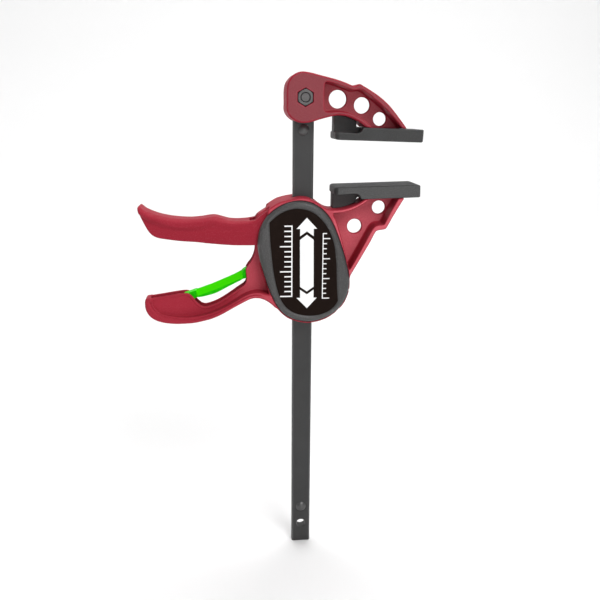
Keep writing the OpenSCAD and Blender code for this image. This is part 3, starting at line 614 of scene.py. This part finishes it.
def fixed_jaw(x, y, z):
    a = np.abs(y)
    d = smax(Ffix(x, z), a - 8.5, 0.95)
    d = cut(d, smax(Ffixp(x, z) - np.where(y < 0.5, 0, 0.8).astype(F4), 1.0 - a, np.where(y < 0, 0.8, 0.25).astype(F4)), 0.5)
    for h in fixed_holes:
        d = cut(d, ring(x, z, h, h[2]), 0.45)
    d = smin(d, cuboid(x, y, z, (25, 37, -2.4, 2.4, 170.4, 172.9)), 0.05)
    d = cut(d, cuboid(x, y, z, (-4.05, 4.05, -2.05, 2.05, 160, 190.3)), 0.12)
    d = cut(d, np.maximum(hexagon(x, z, (0, SCREW_Z), 5.9), y + 5.8), 0.18)
    d = cut(d, np.maximum(ring(x, z, (0, SCREW_Z), 3.1), 6.3 - y), 0.18)
    return d


moulding("fixed_jaw_moulding", fixed_jaw, (-7.2, 39.2, 170.2, 193), levels(-9, 9.05, (-8.5, -6, -1, 1, 6.4, 8.5), 0.32, 0.8, 0.9),
         0.32, "bar_assembly", RED_JAW_PAINTED_SHADE_AND_LIGHT, ["fixed_jaw"])

# ------------------------------------------------------------------ pads
pb = (9, 47, 164, 180)
lp = (9, 47, 138, 156)
Fpad = Plane(smooth(pad_profile), pb)
Ftong = Plane(upper_tongue, pb)
Ftong2 = Plane(lower_tongue, lp)


def pad(x, y, z):
    a = np.abs(y)
    # the plan's corners, well rounded towards the bar
    r = np.where(x < 28.4, 2.6, 0.9).astype(F4)
    corner = np.hypot(np.maximum(np.abs(x - 28.4) - 17 + r, 0), np.maximum(a - 8.5 + r, 0)) - r
    d = smax(smax(Fpad(x, z), a - 8.5, 0.5), corner, 0.3)
    return cut(d, cuboid(x, y, z, (24.9, 37.1, -2.5, 2.5, 170.3, 180)), 0.1)


def pad_up(x, y, z):
    return smin(pad(x, y, z), smax(Ftong(x, z), np.abs(y) - 3.1, 0.3), 0.3)


def pad_low(x, y, z):
    return smin(pad(x, y, 2 * MID_Z - z), smax(Ftong2(x, z), np.abs(y) - 3.1, 0.3), 0.3)


ys_pad = levels(-9, 9.05, (-8.5, -3.1, 3.1, 8.5), 0.3, 0.8, 0.9)
moulding("upper_pad", pad_up, (10.9, 45.6, 167, 177.6), ys_pad, 0.3, "bar_assembly", PAD, ["fixed_jaw_pad"])
moulding("lower_pad", pad_low, (10.9, 45.6, 141.6, 2 * MID_Z - 167), ys_pad, 0.3, "moving_jaw",
         PAD_LOW_PAINTED_SHADE_AND_LIGHT, ["moving_jaw_pad"])

# ------------------------------------------------------------------ covers
cb = (-20, 20, 95, 148)
Fcov = Plane(smooth(cover_outline), cb)
Flab = Plane(smooth(label_outline), cb)


def cover(x, y, z):
    """The front cover, with its outer face towards -y."""
    d = smax(Fcov(x, z), -COVER_OUT - y, 1.9)
    d = np.maximum(d, y + 7.0)
    lab = Flab(x, z)
    bevel = (lab * 0.5 + (y + 9.12) * 0.75) / 0.9014
    return cut(d, smax(bevel, y + 9.12, 0.12), 0.2)


def rear(x, y, z):
    d = cover(x, -y, z)
    for s in screws:
        d = cut(d, np.maximum(ring(x, z, s, 1.4), 7.9 - y), 0.12)
    return d


ys_cov = np.concatenate([np.arange(-10.0, -8.2, 0.17), np.arange(-8.2, -6.4, 0.4)])
moulding("cover_front", cover, (-18.4, 18.4, 96.6, 146.4), ys_cov, 0.3, "moving_jaw", GREY, ["front_cover"])
moulding("cover_rear", rear, (-18.4, 18.4, 96.6, 146.4), -ys_cov[::-1], 0.3, "moving_jaw", GREY,
         ["rear_cover"])

# ------------------------------------------------------------------ trigger
tb = (-65, 13, 124, 146)
Fholl = Plane(smooth(grip_hollow), tb)
# the grip and the cheeks of its fork as one outline
Ftrig = Plane(smooth(grip_outline[:15] + cheek_outline[2:-2][::-1] + grip_outline[19:]), tb)


def trigger(x, y, z):
    a = np.abs(y)
    low = np.interp(x, [-63, -58.6, -54, -42, -30, -21], [138, 131.3, 130.2, 129, 128.1, 128]).astype(F4)
    top = np.interp(x, [-63, -59, -56, -52, -44, -36, -29, -21], [143.3, 140.75, 139.55, 138.75, 138.15, 139, 137.6, 137.6]).astype(F4)
    # a rolled band under the top edge, a crease, and a shallow hollow along the side below it
    crease = np.interp(x, [-63.5, -60.8, -55.3, -49.1, -44, -39.6, -37, -34.4, -31.4, -26.5, -21],
                       [141, 139.4, 137.2, 135.5, 135.4, 136, 136.8, 137, 136.4, 135.6, 135.2]).astype(F4)
    u = np.clip((z - crease) / np.maximum(top - crease, 0.8), 0, 1.3)
    v = np.clip((crease - z) / (crease - low), 0, 1.1)
    part = 1 - ramp(x, -29.0, -18.0)
    deep = part * (1 - 0.6 * ramp(x, -41.0, -31.0))
    wide = 6.5 - part * 1.0 * u * u - deep * (1.35 * ramp(v, -0.04, 0.34) + 0.35 * v)
    # the shoulder's rounding fades out along the fork's cheeks
    near = ramp(x, -23.0, -13.0)
    r = (0.55 + 1.6 * np.clip(u, 0, 1)) * (1 - near) + 0.4 * near
    d = smax(Ftrig(x, z), a - wide, r)
    d = cut(d, np.maximum(Fholl(x, z), a - 3.8), 0.3)
    d = cut(d, np.maximum(-21.0 - x, a - 3.5), 0.3)
    d = smin(d, smax(ring(x, z, NOSE, 1.5), np.abs(a - 5.0) - 1.5, 0.25), 0.3)
    return cut(d, ring(x, z, PIVOT, 1.55), 0.1)


moulding("trigger_lever", trigger, (-64.2, 10.8, 126.2, 144), levels(-7, 7.05, (-6.5, -3.6, 3.6, 6.5), 0.32, 0.8, 1.2),
         0.32, "trigger_body", RED, ["trigger"], ratio=0.6)

# ------------------------------------------------------------------ release lever
lb = (-61, -3, 88, 121)
Flev = Plane(smooth(lever_outline), lb)
Froof = Plane(smooth(lever_roof), lb)


def lever(x, y, z):
    a = np.abs(y)
    w = 1.9 + 0.9 * ramp(x, -43.0, -41.8) * (1 - ramp(x, -25.2, -24.0))
    d = smax(Flev(x, z), a - w, 0.2)
    # the two long bevels that rise from the sides to the narrow back
    on = ramp(x, -43.6, -42.2) * (1 - ramp(x, -24.6, -23.2))
    d = smax(d, (a - (0.55 + 3.0 * (1 - on)) + Froof(x, z)) * 0.7071, 0.15)
    return smin(d, np.maximum(ring(x, z, LEVER_PIVOT, 1.2), a - 2.25), 0.05)


moulding("release_lever_moulding", lever, (-48.9, -8.3, 103.4, 118.6), np.arange(-3.15, 3.16, 0.21), 0.21, "release_body",
         GREEN, ["release_lever"], ratio=0.6)

# ------------------------------------------------------------------ nut and screw of the fixed jaw
def nut(x, y, z):
    r = np.hypot(x, z - SCREW_Z)
    d = smax(hexagon(x, z, (0, SCREW_Z), 5.5), np.abs(y + 7.15) - 1.25, 0.08)
    d = smax(d, (r - 2.75 - (y + 8.4) * 1.732) * 0.5, 0.06)
    return cut(d, np.minimum(r - 1.5, (r - 1.5 + (y + 8.0)) * 0.7071), 0.05)


moulding("jaw_nut", nut, (-3.3, 3.3, SCREW_Z - 3.3, SCREW_Z + 3.3), np.arange(-8.65, -5.7, 0.13), 0.13, "bar_assembly",
         NUT, ["fixed_jaw_nut"], ratio=0.5)


# ------------------------------------------------------------------ springs
def coil(name, r, wire, z0, z1, turns, tip, body, joint, nodes):
    per, sides = 40, 12
    n = int(turns * per)
    P = []
    for i in range(n + 1):
        a = 2 * math.pi * i / per
        s = i / n
        c = Vector((r * math.cos(a), r * math.sin(a), z0 + wire + (z1 - z0 - 2 * wire) * s - tip * s * r * math.cos(a)))
        out = Vector((math.cos(a), math.sin(a), 0))
        for k in range(sides):
            b = 2 * math.pi * k / sides
            P.append(tuple(c + wire * (math.cos(b) * out + math.sin(b) * Vector((0, 0, 1)))))
    Q = [(i * sides + k, (i + 1) * sides + k, (i + 1) * sides + (k + 1) % sides, i * sides + (k + 1) % sides)
         for i in range(n) for k in range(sides)]
    # round ends
    ends = []
    for i, s in ((0, -1), (n, 1)):
        a = 2 * math.pi * i / per
        c = sum((Vector(P[i * sides + k]) for k in range(sides)), Vector()) / sides
        way = Vector((-math.sin(a), math.cos(a), 0)) * s
        m = len(P)
        for k in range(sides):
            p = Vector(P[i * sides + k])
            P.append(tuple(c + (p - c) * 0.7 + way * wire * 0.35))
        P.append(tuple(c + way * wire * 0.5))
        for k in range(sides):
            k2 = (k + 1) % sides
            q = (i * sides + k, i * sides + k2, m + k2, m + k)
            t = (m + k, m + k2, m + sides, m + sides)
            if s > 0:
                Q.append(q[::-1] if s < 0 else q)
                ends.append(t[:3])
            else:
                Q.append(q[::-1])
                ends.append(t[:3][::-1])
    me = bpy.data.meshes.new(name)
    me.from_pydata([tuple(v * MM for v in p) for p in P], [], Q + ends)
    me.validate()
    me.polygons.foreach_set("use_smooth", np.ones(len(me.polygons), bool))
    ob = bpy.data.objects.new(name, me)
    bpy.context.scene.collection.objects.link(ob)
    ob.data.materials.append(SPRING)
    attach(ob, body)
    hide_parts(*nodes)
    return ob


coil_a = coil("drive_coil", 5.3, 0.45, 112.4, 121.85, 5.5, 0.0, "moving_jaw", "drive_plate_slide", ["drive_spring"])
coil_b = coil("brake_coil", 5.3, 0.4, 99.6, 106.5 + 10.8 * math.tan(math.radians(7.5)) - 1.2 / math.cos(math.radians(7.5)) - 0.06,
              3.5, math.tan(math.radians(7.5)), "moving_jaw", "brake_plate_tilt", ["brake_spring"])
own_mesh(coil_a)
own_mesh(coil_b)

# ------------------------------------------------------------------ print on the label: a plain double arrow and ticks
def flat_print(name, shapes, y0, y1, body, mat):
    P, T, faces = [], [], []
    for s in shapes:
        m = len(P)
        k = len(s)
        P += [(p[0], y0, p[1]) for p in s] + [(p[0], y1, p[1]) for p in s]
        area = sum(s[i][0] * s[(i + 1) % k][1] - s[(i + 1) % k][0] * s[i][1] for i in range(k))
        order = list(range(k)) if area > 0 else list(range(k))[::-1]
        faces.append([m + i for i in order])                  # face towards -y
        faces.append([m + k + i for i in order[::-1]])
        for i in range(k):
            a, b = order[i], order[(i + 1) % k]
            faces.append([m + b, m + a, m + k + a, m + k + b])
    me = bpy.data.meshes.new(name)
    me.from_pydata([tuple(v * MM for v in p) for p in P], [], faces)
    me.validate()
    ob = bpy.data.objects.new(name, me)
    bpy.context.scene.collection.objects.link(ob)
    ob.data.materials.append(mat)
    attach(ob, body)
    return ob


def bar_shape(x0, x1, z0, z1):
    return [(x0, z0), (x1, z0), (x1, z1), (x0, z1)]


ARROW_X = 0.9
arrow = [
    [(0.8, 139.2), (-3.2, 134.9), (-1.8, 134.9), (-1.8, 132.0), (0.85, 133.9), (3.5, 132.0), (3.5, 134.9), (4.8, 134.9)],
    [(0.85, 132.6), (-1.85, 130.6), (-1.7, 111.8), (1.0, 109.9), (3.7, 111.8), (3.5, 130.6)],
    [(1.1, 103.0), (-3.1, 107.3), (-1.65, 107.3), (-1.7, 110.6), (1.0, 108.7), (3.7, 110.6), (3.7, 107.3), (5.0, 107.3)],
]
ticks = []
for i in range(15):
    z = 108.0 + 2.0 * i
    ticks.append(bar_shape(-9.6 if i % 5 == 0 else -7.9, -5.2, z - 0.25, z + 0.25))
ticks.append(bar_shape(-5.2, -4.75, 107.75, 136.25))
for i in range(14):
    z = 107.0 + 2.0 * i
    ticks.append(bar_shape(7.4, 10.0 if i % 4 == 0 else 8.7, z - 0.2, z + 0.2))
ticks.append(bar_shape(7.05, 7.4, 106.8, 133.2))
flat_print("label_arrow", arrow, -9.375, -9.34, "moving_jaw", INK)
flat_print("label_ticks", ticks, -9.375, -9.34, "moving_jaw", INK)

# ------------------------------------------------------------------ materials of the CAD nodes that stay
for node, mat in (("bar", BAR), ("upper_stop_pin", PIN), ("lower_stop_pin", PIN), ("fixed_jaw_screw", NUT),
                  ("front_label", LABEL), ("cover_screws", NUT), ("trigger_pivot_pin", NUT),
                  ("drive_plates", PLATE), ("brake_plate", PLATE)):
    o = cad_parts[node]
    if not o.data.materials:
        o.data.materials.append(mat)
    for i in range(len(o.data.materials)):
        o.data.materials[i] = mat

# ------------------------------------------------------------------ stage, light and camera
def stage_material():
    m, nt, bsdf = node_material("pale_floor")
    co = nt.nodes.new("ShaderNodeTexCoord").outputs["Object"]
    col = mix(nt, ranged(nt, noise(nt, co, 3.0, 2.0), 0.3, 0.7, 0.0, 1.0), (0.86, 0.86, 0.86), (0.88, 0.88, 0.88))
    nt.links.new(col, bsdf.inputs["Base Color"])
    bsdf.inputs["Roughness"].default_value = 0.9
    bsdf.inputs["Specular IOR Level"].default_value = 0.1
    return m


def sweep():
    """A pale floor that curves up into a backdrop behind the clamp."""
    z0 = -8.85
    prof = [(-3000, 0), (200, 0)]
    R = 300
    for k in range(1, 13):
        t = math.pi / 2 * k / 12
        prof.append((200 + R * math.sin(t), R - R * math.cos(t)))
    prof.append((500, 1400))
    P = [(x, y, z0 + z) for y, z in prof for x in (-3000, 3000)]
    Q = [(2 * i, 2 * i + 1, 2 * i + 3, 2 * i + 2) for i in range(len(prof) - 1)]
    ob = mesh_object("floor", P, Q)
    ob.data.materials.append(stage_material())


sweep()


def area(name, loc, target, size, power, color=(1, 1, 1), size_y=None):
    d = bpy.data.lights.new(name, "AREA")
    d.energy = power
    d.color = color
    d.size = size
    if size_y:
        d.shape = "RECTANGLE"
        d.size_y = size_y
    o = bpy.data.objects.new(name, d)
    o.location = loc
    o.rotation_euler = (Vector(target) - Vector(loc)).to_track_quat("-Z", "Y").to_euler()
    bpy.context.scene.collection.objects.link(o)
    return o


mid = (-0.01, 0, 0.12)
area("key_light", (0.32, -0.62, 0.76), mid, 0.45, 5.1, size_y=0.45)
area("front_light", (0.12, -0.76, 0.24), mid, 0.42, 0.95, size_y=0.30)
area("top_light", (0.10, 0.14, 0.90), (0, 0.05, 0.12), 0.42, 0.5)
area("side_light", (-0.85, 0.24, 0.18), mid, 0.36, 0.7)
area("back_light", (0.0, 0.42, 1.0), (0, 0.46, 0.0), 0.7, 7.8)

world = bpy.data.worlds.new("studio")
bpy.context.scene.world = world
world.use_nodes = True
world.node_tree.nodes["Background"].inputs[0].default_value = (1, 1, 1, 1)
world.node_tree.nodes["Background"].inputs[1].default_value = 0.30
bpy.context.scene.view_settings.view_transform = "Standard"
bpy.context.scene.view_settings.look = "None"

# the camera, at the photograph's viewing angle
C = Vector((-26.9, -265.2, 178.1)) * MM
yaw, pitch, roll = math.radians(5.63), math.radians(15.58), math.radians(0.38)
fwd = Vector((math.sin(yaw) * math.cos(pitch), math.cos(yaw) * math.cos(pitch), -math.sin(pitch)))
right = Vector((math.cos(yaw), -math.sin(yaw), 0))
up = right.cross(fwd)
rr = math.cos(roll) * right + math.sin(roll) * up
uu = -math.sin(roll) * right + math.cos(roll) * up
cam_data = bpy.data.cameras.new("camera")
cam_data.sensor_width = 36.0
cam_data.lens = 671.7 / 600 * 36
cam_data.clip_start = 0.01
cam_data.clip_end = 20
cam = bpy.data.objects.new("camera", cam_data)
M = Matrix.Identity(4)
for i in range(3):
    M[i][0], M[i][1], M[i][2], M[i][3] = rr[i], uu[i], -fwd[i], C[i]
cam.matrix_world = M
bpy.context.scene.collection.objects.link(cam)
bpy.context.scene.camera = cam

bpy.context.view_layer.update()
